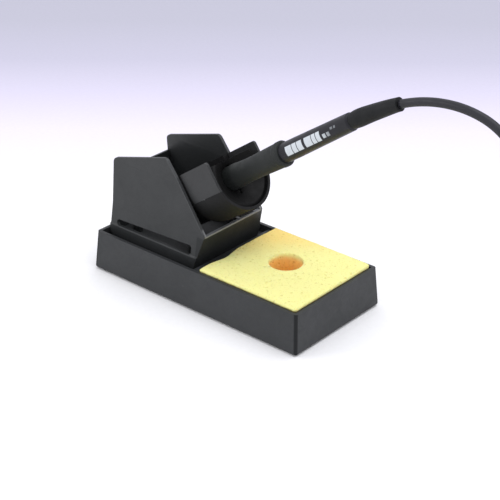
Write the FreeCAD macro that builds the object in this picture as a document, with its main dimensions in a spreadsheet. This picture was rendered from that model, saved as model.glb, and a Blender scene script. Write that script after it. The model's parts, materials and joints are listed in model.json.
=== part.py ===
import FreeCAD, Part
import Sketcher
import math
import os

from FreeCAD import Placement, Rotation, Vector

# Soldering iron station: a weighted base tray with a cleaning sponge in front, an open
# holder behind it that carries a tilting receptacle, and a pencil iron with its cord.
# Millimetres, +Z up. Origin: centre of the base on the table. +X runs from the holder
# towards the sponge, -Y is the side that faces the user.

doc = FreeCAD.newDocument("SolderingStation")
sheet = doc.addObject("Spreadsheet::Sheet", "Dims")
doc.recompute()

# ---------------------------------------------------------------- driving dimensions
TABLE = [
    # base tray
    ("trayLength", 183.0), ("trayWidth", 87.65), ("trayTop", 30.0), ("trayFoot", 0.6),
    ("trayDraft", 4.24), ("trayCorner", 1.8), ("trayBottomRound", 1.6), ("wall", 2.4),
    ("spongeBayStart", 2.2), ("spongeBayFloor", 12.0), ("holderBayEnd", -3.0),
    ("holderBayFloor", 24.0), ("dividerTop", 28.0), ("wellFloor", 7.0),
    ("wellHalfX", 8.0), ("wellHalfY", 35.0), ("wellX", 45.0),
    ("plateHalfX", 84.0), ("plateHalfY", 40.0), ("plateRecess", 3.5),
    ("cavityTopRear", 21.5), ("cavityTopFront", 9.5), ("cavityHalfY", 38.5),
    ("pillarRadius", 4.0), ("pilotRadius", 1.3), ("plateScrewX", 76.0), ("plateScrewY", 32.0),
    ("footRadius", 6.0), ("footX", 66.0), ("footY", 28.0),
    # holder
    ("holderRear", -88.0), ("holderShoulder", 83.0), ("holderPeakX", -37.0),
    ("holderPeak", 97.7), ("holderKneeX", 0.16), ("holderKnee", 50.2),
    ("holderToeX", -7.4), ("holderBottom", 24.3), ("holderFloor", 26.8),
    ("panelTopHalf", 28.2), ("panelKneeHalf", 30.7), ("panelLowHalf", 33.2),
    ("skirtHalf", 34.3), ("panelWall", 2.2), ("rearWallTop", 71.0),
    ("frontWallTop", 50.0), ("holderScrewRear", -74.0), ("holderScrewFront", -20.0),
    ("holderScrewY", 20.0), ("bossRadius", 3.6),
    # receptacle
    ("rimX", 6.8), ("rimZ", 89.65), ("ironTilt", 54.9), ("troughRadius", 25.4),
    ("troughWall", 2.0), ("wingTop", 17.0), ("wingBottom", 5.0), ("troughStep", 31.0), ("troughRear", 58.0),
    ("yokeRadius", 20.5), ("pivotBack", 45.0), ("pivotBossRadius", 6.0),
    ("pivotBossFace", 20.9), ("pivotRadius", 1.98), ("pivotHole", 2.06),
    ("insertRadius", 23.1), ("insertTop", 13.0), ("socketRadius", 9.5),
    ("noseRadius", 8.0), ("stopDepth", 12.3),
    # iron
    ("tipPoint", 78.5), ("tipRadius", 3.25), ("enclosureRadius", 4.8), ("nutRadius", 7.4),
    ("gripFront", 12.0), ("gripRear", 46.5), ("gripRadius", 8.7), ("handleFront", 6.85),
    ("handleRear", 6.2), ("handleEnd", 111.5), ("handleBore", 4.6),
    # sponge
    ("spongeX0", 3.2), ("spongeX1", 88.5), ("spongeHalfY", 40.9), ("spongeBottom", 14.0),
    ("spongeTop", 33.4), ("spongeHole", 12.4), ("spongeHoleX", 43.0), ("spongeHoleY", 5.0),
    # cord
    ("cordRadius", 2.8), ("coilX", 298.0), ("coilY", 6.0), ("coilRadius", 31.0),
    ("coilHalfWidth", 6.0), ("coilBottom", 1.0), ("coilTop", 12.6),
    ("plugRadius", 7.5), ("plugZ", 7.8),
]
for i, (alias, value) in enumerate(TABLE, start=1):
    sheet.set("A%d" % i, alias)
    sheet.set("B%d" % i, str(value))
    sheet.setAlias("B%d" % i, alias)
doc.recompute()


class Q:
    """A size: its number, and the expression over the sheet that gives it."""

    def __init__(self, value, expr=None):
        self.value, self.expr = float(value), expr or repr(float(value))

    @staticmethod
    def of(x):
        return x if isinstance(x, Q) else Q(x)

    def _join(self, other, sign, value, swap=False):
        a, b = (Q.of(other), self) if swap else (self, Q.of(other))
        return Q(value, "(%s %s %s)" % (a.expr, sign, b.expr))

    def __add__(self, o):
        return self._join(o, "+", self.value + Q.of(o).value)

    def __radd__(self, o):
        return self._join(o, "+", self.value + Q.of(o).value, True)

    def __sub__(self, o):
        return self._join(o, "-", self.value - Q.of(o).value)

    def __rsub__(self, o):
        return self._join(o, "-", Q.of(o).value - self.value, True)

    def __mul__(self, o):
        return self._join(o, "*", self.value * Q.of(o).value)

    def __rmul__(self, o):
        return self._join(o, "*", self.value * Q.of(o).value, True)

    def __truediv__(self, o):
        return self._join(o, "/", self.value / Q.of(o).value)

    def __neg__(self):
        return Q(-self.value, "(-1 * %s)" % self.expr)


D = {alias: Q(float(sheet.get(alias)), "Dims." + alias) for alias, _ in TABLE}
v = {alias: q.value for alias, q in D.items()}


def bind(obj, prop, size):
    size = Q.of(size)
    setattr(obj, prop, size.value)
    if "Dims." in size.expr:
        obj.setExpression(prop, size.expr)


# ---------------------------------------------------------------- modelling helpers
SUB = {}  # node name: document object


def body(name, place=None):
    b = doc.addObject("PartDesign::Body", name)
    b.Label = name
    if place is not None:
        b.Placement = place
    return b


def plane(b, role):
    for f in b.Origin.OriginFeatures:
        if f.Role == role:
            return f
    raise ValueError(role)


def sketch(b, role, offset=0.0):
    s = b.newObject("Sketcher::SketchObject", b.Name + "_sketch")
    s.AttachmentSupport = (plane(b, role), [""])
    s.MapMode = "FlatFace"
    if offset:
        s.AttachmentOffset = Placement(Vector(0, 0, offset), Rotation())
    return s


def fix_point(s, geo, end, x, y):
    for kind, size in (("DistanceX", Q.of(x)), ("DistanceY", Q.of(y))):
        n = s.addConstraint(Sketcher.Constraint(kind, -1, 1, geo, end, size.value))
        if "Dims." in size.expr:
            s.setExpression("Constraints[%d]" % n, size.expr)


def profile(s, points):
    """A closed polygon, every corner placed from the origin."""
    pts = [(Q.of(x), Q.of(y)) for x, y in points]
    first = s.GeometryCount
    n = len(pts)
    for k in range(n):
        (x0, y0), (x1, y1) = pts[k], pts[(k + 1) % n]
        s.addGeometry(
            Part.LineSegment(Vector(x0.value, y0.value, 0), Vector(x1.value, y1.value, 0)), False
        )
    for k in range(n):
        s.addConstraint(
            Sketcher.Constraint("Coincident", first + k, 2, first + (k + 1) % n, 1)
        )
    for k in range(n):
        fix_point(s, first + k, 1, *pts[k])


def circle(s, x, y, r):
    x, y, r = Q.of(x), Q.of(y), Q.of(r)
    g = s.addGeometry(Part.Circle(Vector(x.value, y.value, 0), Vector(0, 0, 1), r.value), False)
    fix_point(s, g, 3, x, y)
    n = s.addConstraint(Sketcher.Constraint("Radius", g, r.value))
    if "Dims." in r.expr:
        s.setExpression("Constraints[%d]" % n, r.expr)


def pad(b, s, length, reverse=False, both=False, taper=None):
    f = b.newObject("PartDesign::Pad", b.Name + "_pad")
    f.Profile = s
    bind(f, "Length", length)
    f.Reversed = reverse
    if both:
        f.SideType = "Symmetric"
    if taper is not None:
        bind(f, "TaperAngle", taper)
    s.Visibility = False
    doc.recompute()
    return f


def pocket(b, s, length, reverse=False, both=False):
    before = b.Shape.Volume
    f = b.newObject("PartDesign::Pocket", b.Name + "_pocket")
    f.Profile = s
    bind(f, "Length", length)
    f.Reversed = reverse
    if both:
        f.SideType = "Symmetric"
    doc.recompute()
    if before - b.Shape.Volume < 0.5:
        raise RuntimeError("%s: a pocket removes nothing" % f.Name)
    return f


def revolve(b, s, axis="V_Axis"):
    f = b.newObject("PartDesign::Revolution", b.Name + "_revolution")
    f.Profile = s
    f.ReferenceAxis = (s, [axis])
    f.Angle = 360.0
    doc.recompute()
    return f


def fillet(b, radius, pick, chamfer=False):
    base = b.Tip
    names = ["Edge%d" % (i + 1) for i, e in enumerate(base.Shape.Edges) if pick(e)]
    if not names:
        raise RuntimeError(b.Name + ": no edges to round")
    f = b.newObject("PartDesign::Chamfer" if chamfer else "PartDesign::Fillet", b.Name + "_round")
    f.Base = (base, names)
    bind(f, "Size" if chamfer else "Radius", radius)
    doc.recompute()
    return f


def ends(e):
    return e.Vertexes[0].Point, e.Vertexes[-1].Point


def along(e, axis, least=1.0):
    if e.Curve.TypeId != "Part::GeomLine":
        return False
    a, c = ends(e)
    d = [abs(a[k] - c[k]) for k in range(3)]
    return d[axis] > least and all(d[k] < 1e-4 for k in range(3) if k != axis)


def cylinder(name, r, length, place):
    c = doc.addObject("Part::Cylinder", name)
    bind(c, "Radius", r)
    bind(c, "Height", length)
    c.Placement = place
    return c


def box(name, lx, ly, lz, place):
    c = doc.addObject("Part::Box", name)
    bind(c, "Length", lx)
    bind(c, "Width", ly)
    bind(c, "Height", lz)
    c.Placement = place
    return c


def boolean(kind, name, a, c):
    f = doc.addObject("Part::" + kind, name)
    f.Base, f.Tool = a, c
    return f


def group(name, objects):
    g = doc.addObject("Part::Compound", name)
    g.Links = objects
    g.Label = name
    SUB[name] = g
    return g


def toward(position, direction):
    """A placement whose local Z looks along direction."""
    return Placement(Vector(*position), Rotation(Vector(0, 0, 1), Vector(*direction)))


def screw(name, position, direction, shank_r, shank_l, head_r, head_h, socket_r):
    """A machine screw: local Z from under the head along the shank."""
    p = toward(position, direction)
    shank = cylinder(name + "_shank", shank_r, shank_l + 0.5, p.multiply(Placement(Vector(0, 0, -0.5), Rotation())))
    head = cylinder(name + "_head", head_r, head_h, p.multiply(Placement(Vector(0, 0, -head_h), Rotation())))
    whole = boolean("Fuse", name + "_blank", head, shank)
    key = doc.addObject("Part::Prism", name + "_key")
    key.Polygon = 6
    key.Circumradius = socket_r
    key.Height = head_h * 0.6 + 1.0
    key.Placement = p.multiply(Placement(Vector(0, 0, -head_h - 1.0), Rotation()))
    return boolean("Cut", name, whole, key)


# ---------------------------------------------------------------- base tray
tray = body("base_tray")
half_l, half_w = D["trayLength"] / 2, D["trayWidth"] / 2
s = sketch(tray, "XY_Plane", v["trayTop"])
profile(s, [(-half_l, -half_w), (half_l, -half_w), (half_l, half_w), (-half_l, half_w)])
pad(tray, s, D["trayTop"] - D["trayFoot"], reverse=True, taper=D["trayDraft"])


def upright(e):
    a, c = ends(e)
    return abs(a.z - c.z) > 20


fillet(tray, D["trayCorner"], upright)
fillet(tray, D["trayBottomRound"], lambda e: max(p.z for p in ends(e)) < v["trayFoot"] + 0.01)
in_x, in_y = half_l - D["wall"], half_w - D["wall"]
# bay for the sponge, bay for the holder, and the low divider between them
s = sketch(tray, "XY_Plane", v["trayTop"])
x0 = D["spongeBayStart"]
profile(s, [(x0, -in_y), (in_x, -in_y), (in_x, in_y), (x0, in_y)])
pocket(tray, s, D["trayTop"] - D["spongeBayFloor"])
s = sketch(tray, "XY_Plane", v["trayTop"])
x1 = D["holderBayEnd"]
profile(s, [(-in_x, -in_y), (x1, -in_y), (x1, in_y), (-in_x, in_y)])
pocket(tray, s, D["trayTop"] - D["holderBayFloor"])
s = sketch(tray, "XY_Plane", v["trayTop"])
profile(s, [(x1 - 1, -in_y), (x0 + 1, -in_y), (x0 + 1, in_y), (x1 - 1, in_y)])
pocket(tray, s, D["trayTop"] - D["dividerTop"])
# well for the small sponge that wets the large one
s = sketch(tray, "XY_Plane", v["trayTop"])
wx, wa, wb = D["wellX"], D["wellHalfX"], D["wellHalfY"]
profile(s, [(wx - wa, -wb), (wx + wa, -wb), (wx + wa, wb), (wx - wa, wb)])
pocket(tray, s, D["trayTop"] - D["wellFloor"])
# underside: seat for the bottom plate, then the cavities above it
s = sketch(tray, "XY_Plane")
px, py = D["plateHalfX"], D["plateHalfY"]
profile(s, [(-px, -py), (px, -py), (px, py), (-px, py)])
pocket(tray, s, D["plateRecess"], reverse=True)
s = sketch(tray, "XY_Plane")
cy = D["cavityHalfY"]
profile(s, [(-81.5, -cy), (-5.5, -cy), (-5.5, cy), (-81.5, cy)])
pocket(tray, s, D["cavityTopRear"], reverse=True)
s = sketch(tray, "XY_Plane")
profile(s, [(5.0, -cy), (34.0, -cy), (34.0, cy), (5.0, cy)])
profile(s, [(56.0, -cy), (81.5, -cy), (81.5, cy), (56.0, cy)])
pocket(tray, s, D["cavityTopFront"], reverse=True)
# screw pillars in the cavities, with their pilot holes
s = sketch(tray, "XY_Plane", v["plateRecess"])
for sy in (-1, 1):
    circle(s, -D["plateScrewX"], D["plateScrewY"] * sy, D["pillarRadius"])
pad(tray, s, D["cavityTopRear"] - D["plateRecess"] + 0.5)
s = sketch(tray, "XY_Plane", v["plateRecess"])
for sy in (-1, 1):
    circle(s, D["plateScrewX"], D["plateScrewY"] * sy, D["pillarRadius"])
pad(tray, s, D["cavityTopFront"] - D["plateRecess"] + 0.5)
s = sketch(tray, "XY_Plane")
for sx in (-1, 1):
    for sy in (-1, 1):
        circle(s, D["plateScrewX"] * sx, D["plateScrewY"] * sy, D["pilotRadius"])
pocket(tray, s, 8.5, reverse=True)
# clearance holes for the screws that hold the holder
s = sketch(tray, "XY_Plane", v["trayTop"])
for hx in (D["holderScrewRear"], D["holderScrewFront"]):
    for sy in (-1, 1):
        circle(s, hx, D["holderScrewY"] * sy, 1.7)
pocket(tray, s, 9.5)
SUB["base_tray"] = tray

# ---------------------------------------------------------------- under the tray
plate = body("bottom_plate")
s = sketch(plate, "XY_Plane", 1.2)
profile(s, [(-px + 0.3, -py + 0.3), (px - 0.3, -py + 0.3), (px - 0.3, py - 0.3), (-px + 0.3, py - 0.3)])
pad(plate, s, 2.0)
fillet(plate, 3.0, lambda e: along(e, 2))
s = sketch(plate, "XY_Plane")
for sx in (-1, 1):
    for sy in (-1, 1):
        circle(s, D["plateScrewX"] * sx, D["plateScrewY"] * sy, 1.7)
pocket(plate, s, 6.0, reverse=True)
SUB["bottom_plate"] = plate

# cast iron weight, laid on the bottom plate in the rear cavity
weight = body("ballast_weight")
s = sketch(weight, "XY_Plane", 3.6)
profile(s, [(-66.0, -26.0), (-12.0, -26.0), (-12.0, 26.0), (-66.0, 26.0)])
pad(weight, s, 13.0)
fillet(weight, 4.0, lambda e: along(e, 2))
fillet(weight, 1.2, lambda e: min(p.z for p in ends(e)) > 16.5, chamfer=True)
SUB["ballast_weight"] = weight

group("plate_screws", [
    screw("plate_screw_%d" % k, (v["plateScrewX"] * sx, v["plateScrewY"] * sy, 1.15), (0, 0, 1), 1.25, 6.6, 2.6, 1.0, 1.0)
    for k, (sx, sy) in enumerate([(-1, -1), (-1, 1), (1, -1), (1, 1)])
])
group("rubber_feet", [
    cylinder("rubber_foot_%d" % k, D["footRadius"], 1.15, Placement(Vector(v["footX"] * sx, v["footY"] * sy, 0), Rotation()))
    for k, (sx, sy) in enumerate([(-1, -1), (-1, 1), (1, -1), (1, 1)])
])

# ---------------------------------------------------------------- holder
P0 = Vector(v["rimX"], 0, v["rimZ"])
TILT = Rotation(Vector(0, 1, 0), v["ironTilt"])
AX = TILT.multVec(Vector(0, 0, 1))  # along the iron, towards its cord
DOWN = TILT.multVec(Vector(1, 0, 0))  # square to it, downwards


def at(u, w=0.0, y=0.0):
    """A point from its place along the iron and its height above the iron's axis."""
    return P0 + AX * u - DOWN * w + Vector(0, y, 0)


PIVOT = at(-v["pivotBack"])


def side_block(name, points, width):
    b = body(name)
    s = sketch(b, "XZ_Plane")
    profile(s, points)
    pad(b, s, width, both=True)
    return b


def long_block(name, points, x_from, x_to):
    """A section in the YZ plane, drawn out along X."""
    b = body(name)
    s = sketch(b, "YZ_Plane", x_from)
    profile(s, points)
    pad(b, s, x_to - x_from)
    return b


def mirrored(half):
    return half + [(-y, z) for y, z in reversed(half)]


outline = side_block("holder_outline", [
    (D["holderRear"], D["holderBottom"]), (D["holderToeX"], D["holderBottom"]),
    (D["holderKneeX"], D["holderKnee"]), (D["holderPeakX"], D["holderPeak"]),
    (D["holderRear"], D["holderShoulder"]),
], 90.0)
fillet(outline, 4.0, lambda e: along(e, 1) and ends(e)[0].z > 40 and ends(e)[0].x < -20)
fillet(outline, 2.2, lambda e: along(e, 1) and ends(e)[0].z > 40 and ends(e)[0].x > -2)
section = long_block("holder_section", mirrored([
    (D["panelTopHalf"], 110.0), (D["panelTopHalf"], 82.0), (D["panelKneeHalf"], 50.0),
    (D["panelLowHalf"], 34.6), (D["skirtHalf"], 33.5), (D["skirtHalf"] + 0.2, 20.0),
]), -95.0, 10.0)
shell = boolean("Common", "holder_shell", outline, section)
inner_side = side_block("holder_inner_side", [
    (-86.5, D["holderFloor"]), (-9.3, D["holderFloor"]), (-2.5, D["frontWallTop"]),
    (8.0, D["frontWallTop"]), (8.0, 112.0), (-96.0, 112.0), (-96.0, D["rearWallTop"]),
    (-86.5, D["rearWallTop"]),
], 90.0)
w = D["panelWall"]
inner_section = long_block("holder_inner_section", mirrored([
    (D["panelTopHalf"] - w, 114.0), (D["panelTopHalf"] - w, 82.0), (D["panelKneeHalf"] - w, 50.0),
    (D["panelLowHalf"] - w - 0.3, 35.4), (D["skirtHalf"] - w - 0.2, 32.4), (D["skirtHalf"] - w, 15.0),
]), -100.0, 12.0)
hollow = boolean("Common", "holder_hollow", inner_side, inner_section)
open_shell = boolean("Cut", "holder_open_shell", shell, hollow)
slot = side_block("holder_slot", [
    (-82.0, 35.2), (-80.8, 34.0), (-12.0, 34.1), (-10.5, 35.6), (-10.5, 39.6), (-12.0, 41.0),
    (-80.8, 38.4), (-82.0, 37.2),
], 120.0)
slotted = boolean("Cut", "holder_slotted", open_shell, slot)
extra = None
for k, (x, y) in enumerate([(a, c) for a in ("holderScrewRear", "holderScrewFront") for c in (-1, 1)]):
    boss = cylinder("holder_boss_%d" % k, D["bossRadius"], 7.0, Placement(Vector(v[x], v["holderScrewY"] * y, v["holderFloor"] - 0.5), Rotation()))
    extra = boss if extra is None else boolean("Fuse", "holder_bosses_%d" % k, extra, boss)
for k, sy in enumerate((-1, 1)):
    boss = cylinder("pivot_boss_%d" % k, D["pivotBossRadius"], 7.7, toward((PIVOT.x, sy * v["pivotBossFace"], PIVOT.z), (0, sy, 0)))
    extra = boolean("Fuse", "holder_pivot_bosses_%d" % k, extra, boss)
with_bosses = boolean("Fuse", "holder_with_bosses", slotted, extra)
bores = None
for k, (x, y) in enumerate([(a, c) for a in ("holderScrewRear", "holderScrewFront") for c in (-1, 1)]):
    bore = cylinder("holder_bore_%d" % k, 1.55, 9.0, Placement(Vector(v[x], v["holderScrewY"] * y, 23.0), Rotation()))
    bores = bore if bores is None else boolean("Fuse", "holder_bores_%d" % k, bores, bore)
for k, sy in enumerate((-1, 1)):
    bore = cylinder("pivot_bore_%d" % k, D["pivotHole"], 5.4, toward((PIVOT.x, sy * (v["pivotBossFace"] - 1.0), PIVOT.z), (0, sy, 0)))
    bores = boolean("Fuse", "holder_pivot_bores_%d" % k, bores, bore)
holder = boolean("Cut", "holder_body", with_bosses, bores)
SUB["holder_body"] = holder
doc.recompute()

group("holder_screws", [
    screw("holder_screw_%d" % k, (v[x], v["holderScrewY"] * sy, 21.4), (0, 0, 1), 1.5, 9.0, 2.9, 1.9, 1.2)
    for k, (x, sy) in enumerate([(a, c) for a in ("holderScrewRear", "holderScrewFront") for c in (-1, 1)])
])

# ---------------------------------------------------------------- receptacle
# Local frame of everything that lines up with the iron: Z along the iron towards its
# cord, X downwards square to it, Y as in the station; Z = 0 is the receptacle's mouth.
ALONG = Placement(P0, TILT)


def channel(s, r_out, r_in, top):
    """A U section: two upright wings and a half-round bottom."""
    r_out, r_in, top = Q.of(r_out), Q.of(r_in), Q.of(top)
    ro, ri, t = r_out.value, r_in.value, top.value
    g = [
        Part.LineSegment(Vector(-t, ro, 0), Vector(0, ro, 0)),
        Part.ArcOfCircle(Part.Circle(Vector(0, 0, 0), Vector(0, 0, 1), ro), -math.pi / 2, math.pi / 2),
        Part.LineSegment(Vector(0, -ro, 0), Vector(-t, -ro, 0)),
        Part.LineSegment(Vector(-t, -ro, 0), Vector(-t, -ri, 0)),
        Part.LineSegment(Vector(-t, -ri, 0), Vector(0, -ri, 0)),
        Part.ArcOfCircle(Part.Circle(Vector(0, 0, 0), Vector(0, 0, 1), ri), -math.pi / 2, math.pi / 2),
        Part.LineSegment(Vector(0, ri, 0), Vector(-t, ri, 0)),
        Part.LineSegment(Vector(-t, ri, 0), Vector(-t, ro, 0)),
    ]
    f = s.GeometryCount
    for x in g:
        s.addGeometry(x, False)
    C = Sketcher.Constraint
    for a, ea, c, ec in ((0, 2, 1, 2), (1, 1, 2, 1), (2, 2, 3, 1), (3, 2, 4, 1), (4, 2, 5, 1), (5, 2, 6, 1), (6, 2, 7, 1), (7, 2, 0, 1)):
        s.addConstraint(C("Coincident", f + a, ea, f + c, ec))
    for a in (1, 5):
        s.addConstraint(C("Coincident", f + a, 3, -1, 1))
    for a, ea, x, y in ((0, 1, -top, r_out), (2, 1, 0.0, -r_out), (3, 1, -top, -r_out),
                        (4, 1, -top, -r_in), (4, 2, 0.0, -r_in), (7, 1, -top, r_in)):
        fix_point(s, f + a, ea, x, y)
    for a, ea in ((0, 2), (6, 1)):
        s.addConstraint(C("DistanceX", -1, 1, f + a, ea, 0.0))


trough = body("receptacle_moulding", ALONG)
tr, tw = D["troughRadius"], D["troughWall"]
yr = D["yokeRadius"]
s = sketch(trough, "XY_Plane", -v["troughStep"])
channel(s, tr, tr - tw, D["wingTop"])
pad(trough, s, D["troughStep"])
s = sketch(trough, "XY_Plane", -v["troughStep"])
channel(s, tr, yr - tw, D["wingTop"])
pad(trough, s, tw)
s = sketch(trough, "XY_Plane", -v["troughRear"])
channel(s, yr, yr - tw, D["wingTop"])
pad(trough, s, D["troughRear"] - D["troughStep"] + 1.0)
fillet(trough, 2.4, lambda e: along(e, 1) and abs(ends(e)[0].x + v["wingTop"]) < 0.01 and abs(ends(e)[0].z) < 0.01)
s = sketch(trough, "XZ_Plane")
circle(s, 0.0, -D["pivotBack"], D["pivotHole"])
pocket(trough, s, 60.0, both=True)
s = sketch(trough, "YZ_Plane")
circle(s, 0.0, -9.0, 1.35)
circle(s, 0.0, -16.0, 1.35)
pocket(trough, s, 30.0, reverse=True)
doc.recompute()
# the two flat wings are plates of their own that carry on the trough's sides above its round part
wing_low, wing_rear = v["wingBottom"], -v["troughStep"] + v["troughWall"] + 0.1
wing_zone = box("wing_zone", 30.0, 60.0, 40.0, ALONG.multiply(Placement(Vector(wing_low - 30.0, -30.0, wing_rear), Rotation())))
wing_cut = box("wing_cut", 30.0 + 0.15, 60.0, 40.0, ALONG.multiply(Placement(Vector(wing_low - 30.0, -30.0, wing_rear - 0.1), Rotation())))
SUB["receptacle_wings"] = boolean("Common", "receptacle_wings", trough, wing_zone)
trough_copy = doc.addObject("Part::Compound", "receptacle_moulding_again")
trough_copy.Links = [trough]
SUB["receptacle_trough"] = boolean("Cut", "receptacle_trough", trough_copy, wing_cut)

insert = body("receptacle_insert", ALONG)
ir = D["insertRadius"]
s = sketch(insert, "XZ_Plane")
profile(s, [
    (ir, -2.2), (ir - 1.8, -1.6), (D["socketRadius"], -9.6), (D["socketRadius"], -D["stopDepth"]),
    (D["noseRadius"], -D["stopDepth"]), (D["noseRadius"], -30.0), (D["noseRadius"] + 2.4, -30.0),
    (D["noseRadius"] + 2.4, -21.0), (ir, -19.0),
])
revolve(insert, s)
s = sketch(insert, "XY_Plane", 5.0)
profile(s, [(-D["insertTop"], -30.0), (-D["insertTop"], 30.0), (-40.0, 30.0), (-40.0, -30.0)])
pocket(insert, s, 40.0)
s = sketch(insert, "YZ_Plane")
circle(s, 0.0, -9.0, 1.35)
circle(s, 0.0, -16.0, 1.35)
insert_pilot = insert.newObject("PartDesign::Pocket", "insert_pilot")
insert_pilot.Profile = s
insert_pilot.Length = 30.0
insert_pilot.Reversed = True
doc.recompute()
SUB["receptacle_insert"] = insert

group("insert_screws", [
    screw("insert_screw_%d" % k, tuple(at(u, -v["troughRadius"] - 0.05)), tuple(-DOWN), 1.25, 7.0, 2.6, 1.5, 1.0)
    for k, u in enumerate((-9.0, -16.0))
])

washer_face = v["yokeRadius"] - v["troughWall"] - 0.75
washers, pins = [], []
for k, sy in enumerate((-1, 1)):
    ring = cylinder("washer_disc_%d" % k, 3.9, 0.8, toward((PIVOT.x, sy * washer_face, PIVOT.z), (0, -sy, 0)))
    hole = cylinder("washer_bore_%d" % k, 2.1, 2.0, toward((PIVOT.x, sy * (washer_face + 0.5), PIVOT.z), (0, -sy, 0)))
    washers.append(boolean("Cut", "adjusting_washer_%d" % k, ring, hole))
    pins.append(screw("adjusting_screw_%d" % k, (PIVOT.x, sy * (washer_face - 0.85), PIVOT.z), (0, sy, 0), v["pivotRadius"], 8.0, 3.4, 3.4, 1.7))
group("adjusting_washers", washers)
group("adjusting_screws", pins)

# ---------------------------------------------------------------- iron
tip = body("solder_tip", ALONG)
s = sketch(tip, "XZ_Plane")
tp, trd = D["tipPoint"], D["tipRadius"]
profile(s, [(0.0, -tp), (0.35, -tp + 0.1), (trd, -tp + 15.0), (trd, -40.0), (2.1, -40.0), (2.1, -tp + 12.5), (0.0, -tp + 11.5)])
revolve(tip, s)
SUB["solder_tip"] = tip

enclosure = body("tip_enclosure", ALONG)
s = sketch(enclosure, "XZ_Plane")
er = D["enclosureRadius"]
profile(s, [(trd + 0.15, -61.5), (er - 0.9, -61.5), (er, -59.5), (er, -28.0), (6.1, -28.0), (6.1, -26.4), (trd + 0.35, -26.4), (trd + 0.35, -59.0)])
revolve(enclosure, s)
SUB["tip_enclosure"] = enclosure

nut = body("enclosure_nut", ALONG)
s = sketch(nut, "XZ_Plane")
nr = D["nutRadius"]
profile(s, [(er + 0.1, -30.0), (nr - 0.8, -30.0), (nr, -29.2), (nr, -19.2), (nr - 0.5, -18.7), (6.2, -18.7), (6.2, -28.2), (er + 0.1, -28.2)])
revolve(nut, s)
s = sketch(nut, "XY_Plane", -18.0)
circle(s, nr + 0.35, 0.0, 0.75)
groove = pocket(nut, s, 9.0)
pattern = nut.newObject("PartDesign::PolarPattern", "nut_knurl")
pattern.Originals = [groove]
pattern.Axis = (s, ["N_Axis"])
pattern.Angle = 360.0
pattern.Occurrences = 24
nut.Tip = pattern
doc.recompute()
# the pattern turns about the iron's axis, so its line is the body's own Z
pattern.Axis = ([f for f in nut.Origin.OriginFeatures if f.Role == "Z_Axis"][0], [""])
doc.recompute()
SUB["enclosure_nut"] = nut

nipple = body("nipple", ALONG)
s = sketch(nipple, "XZ_Plane")
profile(s, [(trd + 0.4, -26.2), (6.1, -26.2), (6.1, -18.6), (4.5, -18.6), (4.5, -4.0), (trd + 0.4, -4.0)])
revolve(nipple, s)
SUB["nipple"] = nipple

heater = body("heater_element", ALONG)
s = sketch(heater, "XZ_Plane")
profile(s, [(0.0, -65.6), (1.6, -65.6), (1.95, -65.2), (1.95, -14.0), (3.2, -14.0), (3.2, -9.5), (1.95, -9.5), (1.95, 12.0), (0.0, 12.0)])
revolve(heater, s)
SUB["heater_element"] = heater

handle = body("handle", ALONG)
s = sketch(handle, "XZ_Plane")
hb = D["handleBore"]
gf, gr = D["gripFront"], D["gripRear"]
profile(s, [
    (hb, -18.5), (6.9, -18.5), (7.3, -18.0), (7.3, -gf - 0.1), (6.2, -gf - 0.1), (6.2, gr + 0.2),
    (D["handleFront"], gr + 0.2), (D["handleFront"], gr + 12.0), (D["handleRear"], D["handleEnd"] - 6.0),
    (D["handleRear"] - 0.1, D["handleEnd"] - 1.2), (D["handleRear"] - 1.1, D["handleEnd"]), (3.1, D["handleEnd"]), (3.1, D["handleEnd"] - 5.5),
    (hb, D["handleEnd"] - 5.5),
])
revolve(handle, s)
SUB["handle"] = handle

grip = body("grip_sleeve", ALONG)
s = sketch(grip, "XZ_Plane")
g0 = D["gripRadius"]
profile(s, [
    (6.3, -gf), (g0 - 0.7, -gf), (g0, -gf + 0.8), (g0, -2.0), (g0 - 0.35, 1.0), (g0 - 0.75, 9.0), (g0 - 0.75, 16.0),
    (g0 - 0.35, 28.0), (g0 - 0.1, 38.0), (g0 - 0.1, 41.0), (g0 + 0.3, 42.5), (g0 + 0.3, gr - 1.2), (g0 - 0.6, gr - 0.1), (7.4, gr), (6.3, gr),
])
revolve(grip, s)
SUB["grip_sleeve"] = grip

board = body("terminal_board", ALONG)
s = sketch(board, "XY_Plane", 14.0)
profile(s, [(-0.6, -3.9), (0.6, -3.9), (0.6, 3.9), (-0.6, 3.9)])
pad(board, s, 24.0)
SUB["terminal_board"] = board

group("lead_wires", [
    cylinder("lead_wire_%d" % k, 0.55, 65.0, ALONG.multiply(Placement(Vector(1.25 * math.cos(a), 1.6 * math.sin(a), 38.3), Rotation())))
    for k, a in enumerate([math.radians(d) for d in (0, 72, 144, 216, 288)])
])

# flexible relief at the rear of the handle; it droops a little under the cord
relief_line = [at(104.0), at(111.6), Vector(103.6, 0, 157.55), Vector(110.7, 0, 162.0), Vector(118.0, 0, 166.3), Vector(125.2, 0, 170.4), Vector(132.4, 0, 174.2)]
relief_size = [2.95, 2.95, 5.9, 5.6, 5.25, 4.85, 4.5]


def ring(point, direction, r):
    return Part.Wire([Part.Circle(point, direction, r).toShape()])


relief_dir = [AX, AX]
for k in range(2, len(relief_line)):
    a = relief_line[k - 1] if k > 2 else at(111.6)
    c = relief_line[min(k + 1, len(relief_line) - 1)]
    relief_dir.append((c - a).normalize())
core = Part.makeCylinder(2.95, 8.0, at(104.0), AX)
flare = Part.makeLoft([ring(at(111.7), AX, 5.2)] + [ring(relief_line[k], relief_dir[k], relief_size[k]) for k in range(2, 7)], True, False)
relief_shape = core.fuse(flare)
flange = Part.makeCylinder(4.2, 1.5, at(104.0), AX)
relief_shape = relief_shape.fuse(flange).removeSplitter()
relief = doc.addObject("Part::Feature", "cord_bushing")
relief.Shape = relief_shape
relief.Label = "cord_bushing"
SUB["cord_bushing"] = relief

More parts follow.
